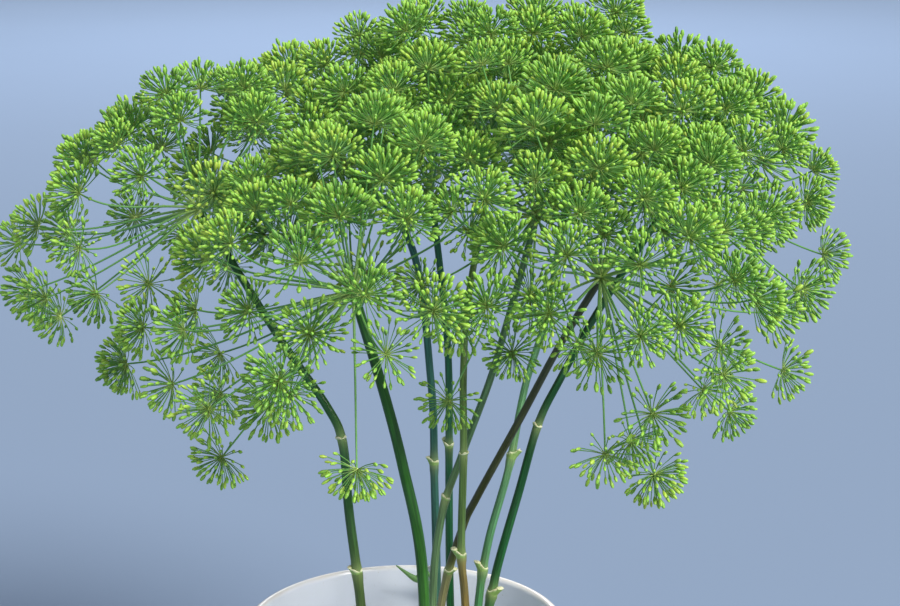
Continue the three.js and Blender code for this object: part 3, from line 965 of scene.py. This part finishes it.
def umbellet_pattern(sizes, fruit, rod, eye, count, seed):
    """One umbellet with its axis up +Z: its fruits, and its fruit stems with the eye."""
    rng = np.random.default_rng(seed)
    share = (np.arange(count) + 0.5) / count
    lean = np.arccos(1 - share * (1 - math.cos(FRUIT_SPREAD)))
    lean += rng.normal(0, 0.05, count)
    around = np.arange(count) * GOLDEN_ANGLE + rng.normal(0, 0.12, count)
    away = np.stack([np.sin(lean) * np.cos(around), np.sin(lean) * np.sin(around),
                     np.cos(lean)], axis=1)
    length = sizes.fruit_stem + sizes.fruit_stem_gain * share
    length = length * (1 + rng.normal(0, 0.06, count))
    ends = unit(away + 0.05 * UP) * length[:, None]
    erect = unit(away + UP * 0.42 * np.sin(lean)[:, None] + rng.normal(0, 0.06, (count, 3)))
    axes = turned(frames_along(erect), rng.uniform(0, 2 * math.pi, count))
    size = 1 + rng.normal(0, 0.09, count)
    tone = np.clip(0.5 + rng.normal(0, 0.16, count), 0, 1)
    points, corners, counts, along, rib = fruit
    fruits = Heap()
    for i in range(count):
        placed = (points * size[i]) @ axes[i].T + ends[i]
        fruits.add(placed, corners, counts, tone=tone[i], along=along, rib=rib)
    rod_points, rod_corners, rod_counts = rod
    stems = Heap()
    level = rod_points[:, 2:]
    for i in range(count):
        middle = away[i] * length[i] * 0.5 - 0.05 * length[i] * UP
        path = 2 * level * (1 - level) * middle + level ** 2 * ends[i]
        thick = sizes.fruit_stem_width / 2 * (1.1 - 0.5 * level + 0.55 * level ** 2)
        ring = (rod_points[:, :1] * axes[i][:, 0] + rod_points[:, 1:2] * axes[i][:, 1]) * thick
        stems.add(path + ring, rod_corners, rod_counts, tone=0.1 + 0.35 * tone[i],
                  pale=0.7 * (1 - level[:, 0]) ** 3)
    stems.add(*eye, tone=0.4, pale=1.0)
    return fruits.arrays(), stems.arrays()


def ray_ends(hubs, tips, order):
    """The directions in which rays leave their hub and arrive at their umbellets, bent upward a
    little unless they hang, and the umbel's own random numbers."""
    away = unit(tips - hubs)
    lift = 0.55 * np.clip(away[:, 2:] + 0.75, 0, 1) * np.sqrt(1 - away[:, 2:] ** 2)
    return away, unit(away + UP * lift), np.random.default_rng(UMBEL_SEED + order)


class DILL_OT_umbels(bpy.types.Operator):
    """Grow the nine umbels: hubs, rays, fruit stems and fruits"""
    bl_idname = "dill.umbels"
    bl_label = "Umbels"

    def execute(self, context):
        sizes, colours = context.scene.dill_sizes, context.scene.dill_colours
        fruit, rod, eye = fruit_shape(sizes), stem_shape(), eye_shape(sizes)
        patterns = [umbellet_pattern(sizes, fruit, rod, eye, sizes.most_fruits - FEWER_FRUITS * i,
                                     PATTERN_SEED + i) for i in range(PATTERNS)]
        green, stem = green_dill_fruit(colours), living_dill_ray(colours)
        hubs, tips, owners = settled_rays()
        for order, letter in enumerate(STALKS):
            mine = owners == order
            self.build(context, order, letter, hubs[mine] * MM, tips[mine] * MM, patterns,
                       green, stem)
        return {"FINISHED"}

    def build(self, context, order, letter, hubs, tips, patterns, green, stem):
        sizes = context.scene.dill_sizes
        away, arriving, rng = ray_ends(hubs, tips, order)
        reach = np.linalg.norm(tips - hubs, axis=1)
        outward = unit(tips * (0.4, 1, 0) + 1e-6)
        hanging = np.clip(-HANG_SLOPE * away[:, 2:], 0, 1)
        low_rays = STALKS[letter].get("low_rays", [])
        for low in STALKS[letter].get("nodding", []):
            hanging[low - len(low_rays)] = 0
        facing = unit(arriving + OUTWARD_TURN * hanging * outward + rng.normal(0, 0.14, tips.shape))
        axes = turned(frames_along(facing), rng.uniform(0, 2 * math.pi, len(tips)))
        shrink = np.clip(1.05 + rng.normal(0, 0.08, len(tips)), 0.86, 1.18)
        # The umbellets that hang are the smallest, with the fewest fruits.
        choice = np.where(rng.uniform(0, 1, len(tips)) < hanging[:, 0],
                          rng.choice(PATTERNS, len(tips), p=(0.0, 0.1, 0.4, 0.5)),
                          rng.choice(PATTERNS, len(tips), p=(0.6, 0.3, 0.1, 0.0)))
        ripeness = rng.normal(0, 0.12, len(tips))
        fruits, stems = Heap(), Heap()
        for i, tip in enumerate(tips):
            for heap, (points, corners, counts, values) in zip((fruits, stems),
                                                               patterns[choice[i]]):
                placed = (points * shrink[i]) @ axes[i].T + tip
                values = dict(values, tone=np.clip(values["tone"] + ripeness[i], 0, 1))
                heap.add(placed, corners, counts, **values)
        fruit_piece = fruits.piece(f"dill_fruits_{letter}")
        fruit_piece.data.materials.append(green)
        settle_piece(fruit_piece, f"dill_fruits_{letter}", "dill_umbel", f"umbel_{letter}")
        parts = [stems.piece(f"dill_rays_{letter}"),
                 self.rays(sizes, hubs, tips, away, arriving, reach, rng),
                 self.hub(sizes, hubs[0], unit(np.array(STALKS[letter]["axis"])))]
        for part in parts:
            part.data.materials.clear()
            part.data.materials.append(stem)
        pick(*parts)
        bpy.ops.object.join()
        smooth(parts[0])
        settle_piece(parts[0], f"dill_rays_{letter}", "dill_umbel", f"umbel_{letter}")

    def rays(self, sizes, hubs, tips, away, arriving, reach, rng):
        """The rays as one curve of tapered splines, then a mesh."""
        data = made_by(bpy.ops.curve.primitive_bezier_curve_add).data
        data.splines.clear()
        foot, end = sizes.ray_foot_width / 2, sizes.ray_tip_width / 2
        for hub, tip, leaving, arrival, length in zip(hubs, tips, away, arriving, reach):
            spline = data.splines.new("BEZIER")
            spline.bezier_points.add(2)
            leaving = unit(leaving + rng.normal(0, 0.03, 3))
            first, second = hub + leaving * length * 0.36, tip - arrival * length * 0.36
            joined = (hub + 3 * first + 3 * second + tip) / 8
            run = (tip + second - first - hub) / 8
            points = spline.bezier_points
            place_point(points[0], hub, hub - leaving * length * 0.1, (hub + first) / 2, 1.0)
            place_point(points[1], joined, joined - run, joined + run, 0.45 + 0.42 * end / foot)
            place_point(points[2], tip, (tip + second) / 2, tip + arrival * length * 0.1,
                        end / foot)
        data.dimensions = "3D"
        data.bevel_depth = foot
        data.bevel_resolution = 2
        data.resolution_u = 7
        bpy.ops.object.convert(target="MESH")
        rays = bpy.context.active_object
        points = coordinates(rays.data)
        near = np.linalg.norm(points - hubs[0], axis=1)
        add_floats(rays.data, "pale", 0.85 * np.exp(-near / (7 * MM)))
        add_floats(rays.data, "tone", 0.85 - 0.3 * np.clip(near / (90 * MM), 0, 1))
        return rays

    def hub(self, sizes, place, axis):
        """The knob that the rays leave, a little flat on top."""
        knob = made_by(bpy.ops.mesh.primitive_uv_sphere_add, segments=24, ring_count=14,
                       radius=sizes.hub_width / 2)
        points = coordinates(knob.data)
        points[:, 2] = np.where(points[:, 2] > 0, points[:, 2] * 0.6, points[:, 2] * 1.15)
        axes = frames_along(axis[None])[0]
        set_coordinates(knob.data, points @ axes.T + place)
        add_floats(knob.data, "pale", np.full(len(points), 0.8))
        add_floats(knob.data, "tone", np.full(len(points), 0.4))
        return knob


# ---- stage ----

CAMERA_TARGET = Vector((22.5, 0, 316.8)) * MM
CAMERA_DISTANCE = 900 * MM
CAMERA_ELEVATION = math.radians(13)
CAMERA_LENS = 75.0


class DILL_OT_stage(bpy.types.Operator):
    """Lay the pale floor, light it softly and set the camera"""
    bl_idname = "dill.stage"
    bl_label = "Stage"

    def execute(self, context):
        settings = context.scene.dill_stage
        floor = made_by(bpy.ops.mesh.primitive_circle_add, vertices=96, radius=14,
                        fill_type="NGON")
        floor.name = "pale_floor"
        floor.data.materials.append(matt_floor_paint(settings.floor))
        self.light_air(context, settings)
        self.skylight(settings)
        middle = CAMERA_TARGET
        self.lamp("window_light", (1.15, -0.7, 1.0), middle, 0.6, settings.window_power, "#fffaf0")
        self.lamp("low_fill", (-0.6, -1.5, 0.3), middle, 0.9, settings.fill_power, "#dfe9ff")
        self.lamp("far_light", (0, 5, 2.6), Vector((0, 5, 0)), 3.0, settings.far_power, "#f0f3fa")
        self.set_camera(context)
        context.scene.view_settings.view_transform = "Standard"
        return {"FINISHED"}

    def light_air(self, context, settings):
        world = bpy.data.worlds.new("soft_air")
        context.scene.world = world
        world.use_nodes = True
        tree = world.node_tree
        tree.nodes.clear()
        sky = node(tree, "ShaderNodeBackground",
                   {"Color": settings.air, "Strength": settings.air_strength})
        node(tree, "ShaderNodeOutputWorld", {"Surface": sky[0]})

    def skylight(self, settings):
        """A broad even light from above, from the right and from the front."""
        light = made_by(bpy.ops.object.light_add, type="SUN")
        light.name = "skylight"
        light.data.energy = settings.skylight_strength
        light.data.angle = math.radians(24)
        light.data.color = linear("#fffaf2")[:3]
        light.rotation_euler = Vector((-0.85, 0.85, -1.0)).to_track_quat("-Z", "Y").to_euler()

    def lamp(self, name, place, target, size, power, colour):
        """A round area light that faces its target."""
        lamp = made_by(bpy.ops.object.light_add, type="AREA", location=place)
        lamp.name = name
        lamp.data.shape = "DISK"
        lamp.data.size = size
        lamp.data.energy = power
        lamp.data.color = linear(colour)[:3]
        ahead = target - Vector(place)
        lamp.rotation_euler = ahead.to_track_quat("-Z", "Y").to_euler()

    def set_camera(self, context):
        back = Vector((0, -math.cos(CAMERA_ELEVATION), math.sin(CAMERA_ELEVATION)))
        camera = made_by(bpy.ops.object.camera_add,
                         location=CAMERA_TARGET + back * CAMERA_DISTANCE,
                         rotation=(math.pi / 2 - CAMERA_ELEVATION, 0, 0))
        camera.data.lens = CAMERA_LENS
        camera.data.sensor_width = 36
        camera.data.clip_start = 0.01
        context.scene.camera = camera


class DILL_PT_bunch(bpy.types.Panel):
    """Lists the pieces of the bunch"""
    bl_label = "Dill bunch"
    bl_idname = "DILL_PT_bunch"
    bl_space_type = "VIEW_3D"
    bl_region_type = "UI"
    bl_category = "Dill"

    def draw(self, context):
        layout = self.layout
        for operator in OPERATORS:
            layout.operator(operator.bl_idname)
        for group, settings in (("Sizes", context.scene.dill_sizes),
                                ("Colours", context.scene.dill_colours),
                                ("Stage", context.scene.dill_stage)):
            box = layout.box()
            box.label(text=group)
            for name in settings.bl_rna.properties.keys():
                if name not in ("rna_type", "name"):
                    box.prop(settings, name)


GROUPS = (DillSizes, DillColours, DillStage)
OPERATORS = (DILL_OT_jar, DILL_OT_stalks, DILL_OT_umbels, DILL_OT_stage)
CLASSES = GROUPS + OPERATORS + (DILL_PT_bunch,)


def register():
    for cls in CLASSES:
        bpy.utils.register_class(cls)
    bpy.types.Scene.dill_sizes = PointerProperty(type=DillSizes)
    bpy.types.Scene.dill_colours = PointerProperty(type=DillColours)
    bpy.types.Scene.dill_stage = PointerProperty(type=DillStage)


def unregister():
    del bpy.types.Scene.dill_stage
    del bpy.types.Scene.dill_colours
    del bpy.types.Scene.dill_sizes
    for cls in reversed(CLASSES):
        bpy.utils.unregister_class(cls)


def main():
    register()
    bpy.ops.dill.stage()
    bpy.ops.dill.jar()
    bpy.ops.dill.stalks()
    bpy.ops.dill.umbels()


if __name__ == "__main__":
    main()
